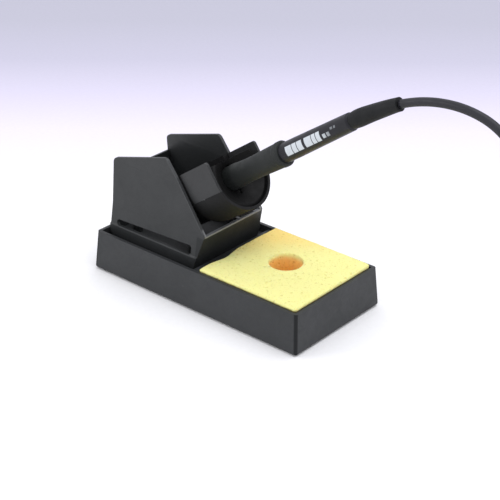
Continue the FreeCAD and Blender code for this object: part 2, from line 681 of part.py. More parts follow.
# ---------------------------------------------------------------- sponges
sponge = body("cleaning_sponge")
s = sketch(sponge, "XY_Plane", v["spongeBottom"])
sx0, sx1, sy0 = D["spongeX0"], D["spongeX1"], D["spongeHalfY"]
profile(s, [(sx0, -sy0), (sx1, -sy0), (sx1, sy0), (sx0, sy0)])
pad(sponge, s, D["spongeTop"] - D["spongeBottom"])
fillet(sponge, 2.5, lambda e: along(e, 2))
fillet(sponge, 1.2, lambda e: min(p.z for p in ends(e)) > v["spongeTop"] - 0.01)
s = sketch(sponge, "XY_Plane", v["spongeTop"])
circle(s, D["spongeHoleX"], D["spongeHoleY"], D["spongeHole"])
pocket(sponge, s, D["spongeTop"] - D["spongeBottom"] + 1.0)
SUB["cleaning_sponge"] = sponge

wick = body("wick_sponge")
s = sketch(wick, "XY_Plane", v["wellFloor"] + 0.1)
profile(s, [(wx - wa + 0.6, -wb + 0.6), (wx + wa - 0.6, -wb + 0.6), (wx + wa - 0.6, wb - 0.6), (wx - wa + 0.6, wb - 0.6)])
pad(wick, s, 6.5)
fillet(wick, 1.5, lambda e: along(e, 2))
SUB["wick_sponge"] = wick

# ---------------------------------------------------------------- cord
ROUTE = [
    (132.65, 0.0, 174.32), (147.5, 0.0, 181.0), (177.0, 0.0, 184.6), (203.0, 0.0, 178.0),
    (222.0, -1.0, 159.0), (232.0, -4.0, 129.0), (235.0, -8.0, 98.0), (233.5, -13.0, 66.0),
    (233.5, -18.0, 37.5), (246.5, -22.5, 11.5), (273.8, -25.3, 3.2),
]
JUNCTION = 5  # the lead's tube ends halfway along the run after this point


def tube(name, points, r, start_dir=None):
    """A round cord along straight runs joined by tangent arcs as large as the runs allow."""
    pts = [Vector(*p) for p in points]
    edges, here, radii = [], pts[0], []
    for k in range(1, len(pts) - 1):
        a, b, c = pts[k - 1], pts[k], pts[k + 1]
        d0, d1 = (b - a), (c - b)
        run = min(d0.Length, d1.Length)
        d0, d1 = Vector(d0).normalize(), Vector(d1).normalize()
        turn = d0.getAngle(d1)
        cut = 0.45 * run
        radius = cut / math.tan(turn / 2)
        radii.append(round(radius, 1))
        p, q = b - d0 * cut, b + d1 * cut
        mid_dir = (d1 - d0).normalize()
        centre = b + mid_dir * (radius / math.cos(turn / 2))
        middle = centre - mid_dir * radius
        edges += [Part.LineSegment(here, p).toShape(), Part.Arc(p, middle, q).toShape()]
        here = q
    edges.append(Part.LineSegment(here, pts[-1]).toShape())
    path = Part.Wire(edges)
    first = pts[1] - pts[0]
    section = Part.Wire([Part.Circle(pts[0], first, r).toShape()])
    shape = path.makePipeShell([section], True, False)
    want = math.pi * r * r * path.Length
    print("%s: radii %s, length %.1f, volume over section times length %.4f" % (name, radii, path.Length, shape.Volume / want))
    f = doc.addObject("Part::Feature", name)
    f.Shape = shape
    f.Label = name
    SUB[name] = f
    return f


J = [(a + b) / 2 for a, b in zip(ROUTE[JUNCTION], ROUTE[JUNCTION + 1])]
tube("cord_lead", ROUTE[: JUNCTION + 1] + [J], v["cordRadius"])
tube("cord_drop", [J] + ROUTE[JUNCTION + 1:], v["cordRadius"])
TAIL = v["coilX"] + 25.5
tube("cord_tail", [(TAIL, v["coilY"] - v["coilRadius"], v["plugZ"]), (TAIL + 6.1, v["coilY"] - v["coilRadius"], v["plugZ"])], v["cordRadius"])

coil = body("cord_coil", Placement(Vector(v["coilX"], v["coilY"], 0), Rotation()))
s = sketch(coil, "XZ_Plane")
cr, ch, cb, ct = D["coilRadius"], D["coilHalfWidth"], D["coilBottom"], D["coilTop"]
profile(s, [
    (cr - ch + 2.4, cb), (cr + ch - 2.4, cb), (cr + ch, cb + 2.4), (cr + ch, ct - 2.4),
    (cr + ch - 2.4, ct), (cr - ch + 2.4, ct), (cr - ch, ct - 2.4), (cr - ch, cb + 2.4),
])
revolve(coil, s)
SUB["cord_coil"] = coil

# hook and loop tie round the coil's turns
tie_at = Placement(Vector(v["coilX"], v["coilY"], 0), Rotation(Vector(0, 0, 1), -20.0))
tie_outer = box("tie_outer", 14.4, 9.0, 13.4, tie_at.multiply(Placement(Vector(v["coilRadius"] - 7.2, -4.5, 0.1), Rotation())))
tie_inner = box("tie_inner", 13.2, 11.0, 11.9, tie_at.multiply(Placement(Vector(v["coilRadius"] - 6.6, -5.5, 0.85), Rotation())))
tie = boolean("Cut", "coil_tie", tie_outer, tie_inner)
SUB["coil_tie"] = tie

# round locking plug, lying on the table beyond the coil and pointing to +X
PLUG = Placement(Vector(0, v["coilY"] - v["coilRadius"], v["plugZ"]), Rotation(Vector(0, 0, 1), Vector(1, 0, 0)))


def plug_part(name, x, profile_points):
    b = body(name, Placement(Vector(x, PLUG.Base.y, PLUG.Base.z), PLUG.Rotation))
    s = sketch(b, "XZ_Plane")
    profile(s, profile_points)
    revolve(b, s)
    SUB[name] = b
    return b


pr = D["plugRadius"]
plug_part("plug_bushing", TAIL + 6.3, [(0.0, 0.0), (3.7, 0.0), (5.6, 17.0), (5.6, 18.0), (0.0, 18.0)])
plug_part("plug_shell", TAIL + 24.4, [
    (5.7, 0.0), (6.4, 0.0), (pr, 2.5), (pr, 9.0), (pr - 0.5, 9.6), (pr - 0.5, 10.4), (pr, 11.0), (pr, 24.0), (pr - 0.6, 25.0),
    (6.75, 25.0), (6.75, 32.0), (6.1, 32.0), (6.1, 12.0), (5.7, 12.0),
])
plug_part("plug_insert", TAIL + 24.4, [(0.0, 12.2), (6.05, 12.2), (6.05, 24.5), (0.0, 24.5)])
group("plug_pins", [
    cylinder("plug_pin_%d" % k, 0.75, 6.6, Placement(Vector(TAIL + 24.4 + 24.55, PLUG.Base.y + 3.6 * math.cos(a), PLUG.Base.z + 3.6 * math.sin(a)), PLUG.Rotation))
    for k, a in enumerate([math.radians(d) for d in (-30, 22, 90, 158, 210)])
])

# ---------------------------------------------------------------- checks and export
doc.recompute()
bad = [o.Name for o in doc.Objects if "Invalid" in o.State or "Error" in o.State]
if bad:
    raise RuntimeError("failed features: " + ", ".join(bad))
for name, obj in SUB.items():
    if obj.Label != name:
        obj.Label = name
    shape = obj.Shape
    if shape.isNull() or not shape.isValid() or not shape.Solids:
        raise RuntimeError(name + ": no valid shape")

os.makedirs("parts", exist_ok=True)
for name, obj in SUB.items():
    shape = obj.Shape
    b = shape.BoundBox
    print("%-20s solids %d  volume %9.1f  x %7.1f %7.1f  y %6.1f %6.1f  z %6.1f %6.1f" % (
        name, len(shape.Solids), shape.Volume, b.XMin, b.XMax, b.YMin, b.YMax, b.ZMin, b.ZMax))
    shape.exportStep("parts/%s.step" % name)
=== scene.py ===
import json
import math
import random

import bmesh
import bpy
import numpy as np
from mathutils import Matrix, Quaternion, Vector, noise


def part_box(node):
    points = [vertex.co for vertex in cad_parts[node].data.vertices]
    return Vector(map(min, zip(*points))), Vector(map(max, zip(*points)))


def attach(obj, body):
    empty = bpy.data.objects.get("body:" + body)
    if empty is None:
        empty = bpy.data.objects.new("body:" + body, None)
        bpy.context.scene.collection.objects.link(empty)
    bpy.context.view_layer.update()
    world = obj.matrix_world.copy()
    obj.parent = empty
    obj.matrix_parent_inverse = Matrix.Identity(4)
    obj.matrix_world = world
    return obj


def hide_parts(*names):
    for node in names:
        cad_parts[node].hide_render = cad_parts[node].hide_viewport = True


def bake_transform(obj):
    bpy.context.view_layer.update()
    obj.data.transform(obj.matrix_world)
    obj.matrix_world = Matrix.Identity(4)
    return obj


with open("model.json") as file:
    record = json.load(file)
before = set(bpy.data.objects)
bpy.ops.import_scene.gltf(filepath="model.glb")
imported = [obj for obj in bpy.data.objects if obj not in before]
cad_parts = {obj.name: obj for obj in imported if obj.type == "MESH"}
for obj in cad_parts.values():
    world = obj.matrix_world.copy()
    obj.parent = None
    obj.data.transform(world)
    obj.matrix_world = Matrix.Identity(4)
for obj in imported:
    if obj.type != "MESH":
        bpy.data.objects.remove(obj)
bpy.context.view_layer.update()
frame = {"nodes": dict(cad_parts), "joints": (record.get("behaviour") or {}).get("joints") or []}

scene = bpy.context.scene
nodes = frame["nodes"]
mm = 0.001

# ------------------------------------------------------------------ camera
cam_data = bpy.data.cameras.new("view")
cam = bpy.data.objects.new("view", cam_data)
scene.collection.objects.link(cam)
right = Vector((0.76024654, 0.64959675, 0.00701895))
up = Vector((-0.30860924, 0.3516269, 0.88380929))
back = Vector((0.57165159, -0.67407906, 0.46779469))
turn = Matrix((right, up, back)).transposed().to_4x4()
cam.matrix_world = Matrix.Translation(Vector((0.58809, -0.67590, 0.50293))) @ turn
cam_data.sensor_width = 36.0
cam_data.sensor_fit = "HORIZONTAL"
cam_data.lens = 104.05
cam_data.clip_start, cam_data.clip_end = 0.05, 50.0
scene.camera = cam

# ------------------------------------------------------------------ the iron's own axes
tilt = next(j for j in frame["joints"] if j["name"] == "receptacle_tilt")
slide = next(j for j in frame["joints"] if j["name"] == "iron_slide")
AX = Vector(slide["axis"]).normalized()          # along the iron, towards its cord
UPW = Vector((-AX.z, 0.0, AX.x))                 # square to it, upwards
SIDE = Vector((0.0, 1.0, 0.0))
P0 = Vector((0.0068, 0.0, 0.08965))              # middle of the receptacle's mouth


def at(u, w=0.0, y=0.0):
    """A point from its place along the iron, above its axis and to the side, in mm."""
    return P0 + AX * (u * mm) + UPW * (w * mm) + SIDE * (y * mm)


# ------------------------------------------------------------------ cord routes, in mm
ROUTE = [
    (132.65, 0.0, 174.32), (147.5, 0.0, 181.0), (177.0, 0.0, 184.6), (203.0, 0.0, 178.0),
    (222.0, -1.0, 159.0), (232.0, -4.0, 129.0), (235.0, -8.0, 98.0), (233.5, -13.0, 66.0),
    (233.5, -18.0, 37.5), (246.5, -22.5, 11.5), (273.8, -25.3, 3.9),
]
LAST = 5
JUNCTION = tuple((a + b) / 2 for a, b in zip(ROUTE[LAST], ROUTE[LAST + 1]))
CORD_D = 5.6
COIL_C = (298.0, 6.0, 31.0)


def coil_points():
    """The turns of the put-away coil: two lie side by side on the table and two on top of them.
    It is entered from -X and left towards +X, both at its -Y side."""
    lanes = [(2.9, 3.5), (-2.9, 3.5), (-2.7, 8.8), (2.8, 8.7)]    # from the middle radius, height
    changes = [(0.72, 1.0), (1.7, 2.0), (3.02, 3.34)]             # when the next lane is taken, in turns
    pts, per_turn = [], 16
    for k in range(1, 4 * per_turn + 1):
        t = k / per_turn
        dr, h = lanes[0]
        for lane, (a, b) in zip(lanes[1:], changes):
            f = min(1.0, max(0.0, (t - a) / (b - a)))
            f = f * f * (3 - 2 * f)
            dr, h = dr + (lane[0] - dr) * f, h + (lane[1] - h) * f
        a = math.radians(-90.0 + 360.0 * t)
        r = COIL_C[2] + dr + 0.22 * math.sin(k * 1.7) + 0.15 * math.sin(k * 0.6)
        pts.append((COIL_C[0] + r * math.cos(a), COIL_C[1] + r * math.sin(a), h + 0.12 * math.sin(k * 1.1)))
    return pts


def route_line(name, points, resolution=10):
    """The points of a smooth line through the route: a NURBS spline over the route's points."""
    data = bpy.data.curves.new(name + "_route", "CURVE")
    data.dimensions = "3D"
    data.resolution_u = resolution
    spline = data.splines.new("NURBS")
    spline.points.add(len(points) - 1)
    for p, co in zip(spline.points, points):
        p.co = (co[0] * mm, co[1] * mm, co[2] * mm, 1.0)
    spline.order_u = 3
    spline.use_endpoint_u = True
    ob = bpy.data.objects.new(name + "_route", data)
    mesh = bpy.data.meshes.new_from_object(ob)
    line = [v.co.copy() for v in mesh.vertices]
    bpy.data.meshes.remove(mesh)
    bpy.data.objects.remove(ob)
    bpy.data.curves.remove(data)
    return line


def mesh_object(name, verts, faces, smooth=True):
    me = bpy.data.meshes.new(name)
    me.from_pydata([tuple(v) for v in verts], [], faces)
    me.update()
    for p in me.polygons:
        p.use_smooth = smooth
    ob = bpy.data.objects.new(name, me)
    scene.collection.objects.link(ob)
    return ob


def frames_along(line):
    """A direction and a square normal at each point, turning as little as possible."""
    n = len(line)
    dirs = []
    for i in range(n):
        a, b = line[max(i - 1, 0)], line[min(i + 1, n - 1)]
        dirs.append((b - a).normalized())
    ref = Vector((0, 1, 0)) if abs(dirs[0].y) < 0.9 else Vector((0, 0, 1))
    nrm = (ref - dirs[0] * ref.dot(dirs[0])).normalized()
    out = [(dirs[0], nrm)]
    for i in range(1, n):
        q = dirs[i - 1].rotation_difference(dirs[i])
        nrm = q @ nrm
        nrm = (nrm - dirs[i] * nrm.dot(dirs[i])).normalized()
        out.append((dirs[i], nrm))
    return out


def tube(name, line, radius, sides=20, capped=True):
    """A round tube whose rings sit on the line's own points. radius may be a function of 0..1."""
    fr = frames_along(line)
    verts, faces = [], []
    n = len(line)
    for i, (p, (d, nrm)) in enumerate(zip(line, fr)):
        b = d.cross(nrm)
        r = radius(i / (n - 1)) if callable(radius) else radius
        for k in range(sides):
            a = 2 * math.pi * k / sides
            verts.append(p + (nrm * math.cos(a) + b * math.sin(a)) * r)
    for i in range(n - 1):
        for k in range(sides):
            k2 = (k + 1) % sides
            faces.append((i * sides + k, i * sides + k2, (i + 1) * sides + k2, (i + 1) * sides + k))
    if capped:
        faces.append(tuple(reversed(range(sides))))
        faces.append(tuple((n - 1) * sides + k for k in range(sides)))
    ob = mesh_object(name, verts, faces)
    ob.data.polygons[len(faces) - 1].use_smooth = not capped
    if capped:
        ob.data.polygons[len(faces) - 2].use_smooth = False
    return ob


def lathe(name, profile, place, sides=64, closed=False):
    """A turned shape. profile is (radius, height) in mm; place takes local mm to the row frame."""
    verts, faces = [], []
    for r, h in profile:
        for k in range(sides):
            a = 2 * math.pi * k / sides
            verts.append(place(r * math.cos(a), r * math.sin(a), h))
    n = len(profile)
    for i in range(n if closed else n - 1):
        j = (i + 1) % n
        for k in range(sides):
            k2 = (k + 1) % sides
            faces.append((i * sides + k, i * sides + k2, j * sides + k2, j * sides + k))
    if not closed:
        faces.append(tuple(reversed(range(sides))))
        faces.append(tuple((n - 1) * sides + k for k in range(sides)))
    ob = mesh_object(name, verts, faces)
    fix_normals(ob)
    return ob


def fix_normals(ob):
    bm = bmesh.new()
    bm.from_mesh(ob.data)
    bmesh.ops.recalc_face_normals(bm, faces=bm.faces)
    bm.to_mesh(ob.data)
    bm.free()


# ------------------------------------------------------------------ materials
def new_material(name):
    m = bpy.data.materials.new(name)
    m.use_nodes = True
    nt = m.node_tree
    bsdf = next(n for n in nt.nodes if n.type == "BSDF_PRINCIPLED")
    return m, nt, bsdf


class N:
    """Short hands for building node trees."""

    def __init__(self, nt):
        self.nt = nt
        self.coord = self.node("ShaderNodeTexCoord").outputs["Object"]

    def node(self, kind, **props):
        n = self.nt.nodes.new(kind)
        for k, val in props.items():
            setattr(n, k, val)
        return n

    def link(self, a, b):
        self.nt.links.new(a, b)

    def noise(self, scale, detail=4.0, rough=0.55, vector=None, distortion=0.0):
        n = self.node("ShaderNodeTexNoise")
        n.inputs["Scale"].default_value = scale
        n.inputs["Detail"].default_value = detail
        n.inputs["Roughness"].default_value = rough
        n.inputs["Distortion"].default_value = distortion
        self.link(vector or self.coord, n.inputs["Vector"])
        return n.outputs["Fac"]

    def voronoi(self, scale, feature="F1", vector=None, randomness=1.0):
        n = self.node("ShaderNodeTexVoronoi", feature=feature)
        n.inputs["Scale"].default_value = scale
        n.inputs["Randomness"].default_value = randomness
        self.link(vector or self.coord, n.inputs["Vector"])
        return n.outputs["Distance"]

    def math(self, op, a, b=None, clamp=False):
        n = self.node("ShaderNodeMath", operation=op, use_clamp=clamp)
        for i, x in enumerate((a, b)):
            if x is None:
                continue
            if isinstance(x, (int, float)):
                n.inputs[i].default_value = x
            else:
                self.link(x, n.inputs[i])
        return n.outputs[0]

    def ramp(self, fac, stops, interpolation="LINEAR"):
        n = self.node("ShaderNodeValToRGB")
        n.color_ramp.interpolation = interpolation
        e = n.color_ramp.elements
        while len(e) < len(stops):
            e.new(0.5)
        for x, (pos, col) in zip(e, stops):
            x.position = pos
            x.color = (*col, 1.0) if len(col) == 3 else col
        self.link(fac, n.inputs["Fac"])
        return n.outputs["Color"]

    def range(self, x, a, b, c, d, smooth=False):
        n = self.node("ShaderNodeMapRange", clamp=True)
        if smooth:
            n.interpolation_type = "SMOOTHSTEP"
        for i, val in enumerate((a, b, c, d), start=1):
            n.inputs[i].default_value = val
        self.link(x, n.inputs[0])
        return n.outputs[0]

    def mix(self, fac, a, b, blend="MIX"):
        n = self.node("ShaderNodeMix", data_type="RGBA", blend_type=blend)
        for socket, x in ((n.inputs["Factor"], fac), (n.inputs[6], a), (n.inputs[7], b)):
            if isinstance(x, (int, float)):
                socket.default_value = x
            elif isinstance(x, (tuple, list)):
                socket.default_value = (*x, 1.0) if len(x) == 3 else x
            else:
                self.link(x, socket)
        return n.outputs[2]

    def dot(self, vec, origin):
        """How far along a direction each point lies, in mm."""
        sub = self.node("ShaderNodeVectorMath", operation="SUBTRACT")
        sub.inputs[1].default_value = tuple(origin)
        self.link(self.coord, sub.inputs[0])
        d = self.node("ShaderNodeVectorMath", operation="DOT_PRODUCT")
        d.inputs[1].default_value = tuple(vec)
        self.link(sub.outputs[0], d.inputs[0])
        return self.math("MULTIPLY", d.outputs["Value"], 1000.0)

    def axis(self, name):
        s = self.node("ShaderNodeSeparateXYZ")
        self.link(self.coord, s.inputs[0])
        return self.math("MULTIPLY", s.outputs[name], 1000.0)

    def bump(self, height, strength, distance, normal=None):
        n = self.node("ShaderNodeBump")
        n.inputs["Strength"].default_value = strength
        n.inputs["Distance"].default_value = distance
        self.link(height, n.inputs["Height"])
        if normal is not None:
            self.link(normal, n.inputs["Normal"])
        return n.outputs["Normal"]


def moulded(name, dark, light, rough=(0.42, 0.62), grain=2600.0, grain_depth=0.00004, spec=0.5, dust=0.0, painted_front_light_shade=False, painted_corner_shade=False):
    """Injection-moulded or painted plastic: fine spark texture, slow tone changes, rubbed spots; optionally painted
    shade and painted highlights on the holder's front, and painted shade on the tray's corners.
    """
    m, nt, bsdf = new_material(name)
    n = N(nt)
    slow = n.noise(28.0, 3.0, 0.5)
    fine = n.noise(grain, 2.0, 0.6)
    col = n.ramp(slow, [(0.3, dark), (0.75, light)])
    speck = n.ramp(fine, [(0.35, (0.82, 0.82, 0.82)), (0.7, (1.12, 1.12, 1.12))])
    col = n.mix(1.0, col, speck, "MULTIPLY")
    shine = None
    if painted_front_light_shade:
        x, z = n.axis("X"), n.axis("Z")
        y = n.math("ABSOLUTE", n.axis("Y"))
        # painted shade: the front wall's face under the receptacle is darkened towards near-black, with lower
        # specular
        face = n.math("MULTIPLY", n.range(x, -7.0, -6.0, 0.0, 1.0), n.range(z, 48.3, 49.1, 1.0, 0.0))
        col = n.mix(n.math("MULTIPLY", face, 0.1), col, (0.006, 0.0065, 0.007))
        shine = n.range(face, 0.0, 1.0, spec, spec * 0.6)
        # painted highlight: a light line along the front wall's top edge
        top_edge_highlight = n.math("MULTIPLY", n.range(x, -3.4, -2.6, 0.0, 1.0), n.range(z, 48.3, 49.1, 0.0, 1.0))
        top_edge_highlight = n.math("MULTIPLY", top_edge_highlight, n.range(y, 29.0, 30.4, 1.0, 0.0))
        # distance behind the sloping front edge of the side panels, for a faint painted highlight along it
        edge = n.dot((0.7877, 0.0, 0.6161), (-0.037, 0.0, 0.0977))
        slope_edge_highlight = n.math("MULTIPLY", n.range(edge, -0.95, -0.45, 0.0, 1.0), n.range(z, 51.0, 53.0, 0.0, 1.0))
        slope_edge_highlight = n.math("MULTIPLY", slope_edge_highlight, n.range(y, 24.0, 25.0, 0.0, 1.0))
        # noise that breaks up the painted highlight lines
        highlight_breakup = n.range(n.noise(120.0, 4.0, 0.6), 0.25, 0.6, 0.65, 1.0)
        col = n.mix(n.math("MULTIPLY", top_edge_highlight, highlight_breakup), col, (0.21, 0.215, 0.222))
        col = n.mix(n.math("MULTIPLY", slope_edge_highlight, n.math("MULTIPLY", highlight_breakup, 0.35)), col, (0.085, 0.088, 0.092))
    if painted_corner_shade:
        # the tray's four upright corners, following its draft, painted near-black as shade with lower specular
        s = n.math("ADD", n.math("ABSOLUTE", n.axis("X")), n.math("ABSOLUTE", n.axis("Y")))
        s = n.math("ADD", s, n.math("MULTIPLY", n.axis("Z"), 0.148))
        corner = n.range(s, 137.4, 138.3, 0.0, 1.0)
        col = n.mix(n.math("MULTIPLY", corner, 0.62), col, (0.004, 0.0045, 0.005))
        shine = n.range(corner, 0.0, 1.0, spec, spec * 0.45)
    if dust:
        flecks = n.range(n.noise(340.0, 6.0, 0.75), 0.66, 0.74, 0.0, dust)
        col = n.mix(flecks, col, (0.42, 0.41, 0.38))
    n.link(col, bsdf.inputs["Base Color"])
    scuff = n.noise(95.0, 6.0, 0.7, distortion=1.4)
    r = n.range(scuff, 0.35, 0.7, rough[0], rough[1])
    n.link(r, bsdf.inputs["Roughness"])
    bsdf.inputs["Specular IOR Level"].default_value = spec
    if shine is not None:
        n.link(shine, bsdf.inputs["Specular IOR Level"])
    nrm = n.bump(fine, 0.55, grain_depth)
    n.link(nrm, bsdf.inputs["Normal"])
    return m


def metal(name, dark, light, rough=(0.25, 0.45), scale=900.0, stretch=None, metallic=1.0):
    m, nt, bsdf = new_material(name)
    n = N(nt)
    vec = None
    if stretch:
        mp = n.node("ShaderNodeMapping")
        mp.inputs["Scale"].default_value = stretch
        n.link(n.coord, mp.inputs["Vector"])
        vec = mp.outputs["Vector"]
    lines = n.noise(scale, 4.0, 0.6, vector=vec)
    tone = n.noise(60.0, 3.0, 0.5)
    col = n.mix(1.0, n.ramp(tone, [(0.3, dark), (0.7, light)]), n.ramp(lines, [(0.3, (0.85, 0.85, 0.85)), (0.7, (1.1, 1.1, 1.1))]), "MULTIPLY")
    n.link(col, bsdf.inputs["Base Color"])
    n.link(n.range(lines, 0.3, 0.7, rough[0], rough[1]), bsdf.inputs["Roughness"])
    bsdf.inputs["Metallic"].default_value = metallic
    n.link(n.bump(lines, 0.3, 0.00002), bsdf.inputs["Normal"])
    return m


def rubber(name, dark, light, rough=(0.5, 0.7), grain=1500.0, depth=0.00005, sheen=0.0, spec=0.5):
    m, nt, bsdf = new_material(name)
    n = N(nt)
    fine = n.noise(grain, 3.0, 0.6)
    slow = n.noise(45.0, 3.0, 0.5)
    col = n.mix(1.0, n.ramp(slow, [(0.3, dark), (0.7, light)]), n.ramp(fine, [(0.3, (0.85, 0.85, 0.85)), (0.7, (1.12, 1.12, 1.12))]), "MULTIPLY")
    n.link(col, bsdf.inputs["Base Color"])
    n.link(n.range(n.noise(130.0, 5.0, 0.65), 0.35, 0.7, rough[0], rough[1]), bsdf.inputs["Roughness"])
    bsdf.inputs["Specular IOR Level"].default_value = spec
    if sheen:
        bsdf.inputs["Sheen Weight"].default_value = sheen
        bsdf.inputs["Sheen Roughness"].default_value = 0.5
    n.link(n.bump(fine, 0.5, depth), bsdf.inputs["Normal"])
    return m


def handle_material():
    """Smooth dark handle with a plain printed panel of white blocks, no lettering."""
    m, nt, bsdf = new_material("handle_print")
    n = N(nt)
    fine = n.noise(1800.0, 2.0, 0.6)
    slow = n.noise(40.0, 3.0, 0.5)
    base = n.ramp(slow, [(0.3, (0.010, 0.0102, 0.0135)), (0.7, (0.016, 0.0162, 0.021))])
    u = n.dot(AX, P0)
    # height of the band round the handle, seen from the user's side
    face = (UPW * 0.07 - SIDE * 0.9975).normalized()
    tang = (UPW * 0.9975 + SIDE * 0.07).normalized()
    out = n.dot(face, P0)
    across = n.dot(tang, P0)
    front = n.range(out, 1.5, 2.0, 0.0, 1.0)
    band = n.math("MULTIPLY", n.range(across, -3.3, -3.1, 0.0, 1.0), n.range(across, 3.1, 3.3, 1.0, 0.0))
    white = None
    # solid bar, then shorter and lower blocks, as printed scale marks
    blocks = [(53.4, 59.6, -3.3, 3.3), (59.95, 64.2, -3.3, 3.3), (64.55, 69.6, -3.3, 3.3), (71.8, 78.4, -3.3, 3.3),
              (78.75, 82.4, -3.3, 3.3), (82.75, 86.6, -3.3, 3.3), (88.4, 91.4, -2.6, 0.4), (92.2, 95.0, -2.6, 0.4), (96.4, 98.8, 0.6, 2.4), (99.6, 101.4, 0.6, 2.4)]
    for a, b, lo, hi in blocks:
        w = n.math("MULTIPLY", n.range(u, a, a + 0.25, 0.0, 1.0), n.range(u, b - 0.25, b, 1.0, 0.0))
        v = n.math("MULTIPLY", n.range(across, lo, lo + 0.25, 0.0, 1.0), n.range(across, hi - 0.25, hi, 1.0, 0.0))
        w = n.math("MULTIPLY", w, v)
        white = w if white is None else n.math("MAXIMUM", white, w)
    white = n.math("MULTIPLY", white, n.math("MULTIPLY", band, front))
    worn = n.range(n.noise(420.0, 5.0, 0.7), 0.3, 0.42, 0.72, 1.0)
    faint = n.range(u, 87.0, 96.0, 1.0, 0.3)
    white = n.math("MULTIPLY", n.math("MULTIPLY", white, worn), faint)
    col = n.mix(white, base, (0.58, 0.62, 0.65))
    n.link(col, bsdf.inputs["Base Color"])
    n.link(n.range(n.noise(110.0, 5.0, 0.65), 0.35, 0.7, 0.32, 0.5), bsdf.inputs["Roughness"])
    bsdf.inputs["Specular IOR Level"].default_value = 0.28
    n.link(n.bump(fine, 0.35, 0.00003), bsdf.inputs["Normal"])
    return m


def sponge_material(name="sponge_cellulose", front=(0.84, 0.81, 0.32), rear=(0.92, 0.70, 0.22)):
    """Open-celled cellulose: pores, a paler face, and painted shade on the sides just above the tray's rim."""
    m, nt, bsdf = new_material(name)
    n = N(nt)
    x, y, z = n.axis("X"), n.axis("Y"), n.axis("Z")
    cells = n.voronoi(620.0)
    big = n.voronoi(230.0)
    fine = n.noise(900.0, 5.0, 0.65)
    pore = n.range(cells, 0.1, 0.34, 0.0, 1.0)
    bigpore = n.range(big, 0.09, 0.24, 0.0, 1.0)
    # deeper yellow towards the holder's side, where it stays damp, and down in the hole
    damp = n.math("ADD", n.math("MULTIPLY", x, -0.0085), n.math("MULTIPLY", y, 0.0105))
    damp = n.math("ADD", damp, n.math("MULTIPLY", n.noise(22.0, 4.0, 0.55), 0.5))
    damp = n.range(damp, -0.08, 0.55, 0.0, 1.0, smooth=True)
    col = n.mix(damp, front, rear)
    depth = n.range(z, 27.0, 32.0, 1.0, 0.0, smooth=True)
    # painted shadow line where the sponge's side meets the tray's rim
    rim_gap_shadow = n.range(z, 29.5, 30.3, 1.0, 0.0, smooth=True)
    off = n.node("ShaderNodeVectorMath", operation="DISTANCE")
    n.link(n.coord, off.inputs[0])
    flat = n.node("ShaderNodeCombineXYZ")
    flat.inputs["X"].default_value, flat.inputs["Y"].default_value = 0.043, 0.005
    zz = n.node("ShaderNodeSeparateXYZ")
    n.link(n.coord, zz.inputs[0])
    n.link(zz.outputs["Z"], flat.inputs["Z"])
    n.link(flat.outputs["Vector"], off.inputs[1])
    outer = n.range(n.math("MULTIPLY", off.outputs["Value"], 1000.0), 15.0, 18.0, 0.0, 1.0)
    col = n.mix(n.math("MULTIPLY", depth, n.math("SUBTRACT", 1.0, outer)), col, (1.0, 0.60, 0.18))
    # painted shade on the outer sides just above the tray's rim, darkest in the painted shadow line at the rim
    side = n.range(z, 29.9, 30.9, 0.7, 0.0, smooth=True)
    band = n.range(z, 27.6, 28.8, 0.0, 1.0, smooth=True)
    side, rim_gap_shadow = n.math("MULTIPLY", side, band), n.math("MULTIPLY", rim_gap_shadow, band)
    low_side_shade = n.range(z, 29.0, 30.0, 0.45, 0.0, smooth=True)
    col = n.mix(n.math("MULTIPLY", low_side_shade, outer), col, (0.78, 0.62, 0.24))
    col = n.mix(n.math("MULTIPLY", side, outer), col, (0.30, 0.25, 0.09))
    col = n.mix(n.math("MULTIPLY", rim_gap_shadow, outer), col, (0.15, 0.115, 0.04))
    shade = n.math("MULTIPLY", n.range(pore, 0.0, 1.0, 0.86, 1.0), n.range(bigpore, 0.0, 1.0, 0.80, 1.0))
    col = n.mix(1.0, col, n.ramp(shade, [(0.0, (0.55, 0.5, 0.4)), (0.58, (0.8, 0.72, 0.55)), (1.0, (1.0, 1.0, 1.0))]), "MULTIPLY")
    n.link(col, bsdf.inputs["Base Color"])
    bsdf.inputs["Roughness"].default_value = 0.9
    bsdf.inputs["Specular IOR Level"].default_value = 0.25
    bsdf.inputs["Subsurface Weight"].default_value = 0.25
    bsdf.inputs["Subsurface Scale"].default_value = 0.004
    bsdf.inputs["Subsurface Radius"].default_value = (1.0, 0.7, 0.3)
    h = n.math("ADD", n.math("MULTIPLY", pore, 0.7), n.math("MULTIPLY", bigpore, 1.0))
    h = n.math("ADD", h, n.math("MULTIPLY", fine, 0.4))
    n.link(n.bump(h, 0.8, 0.0005), bsdf.inputs["Normal"])
    return m


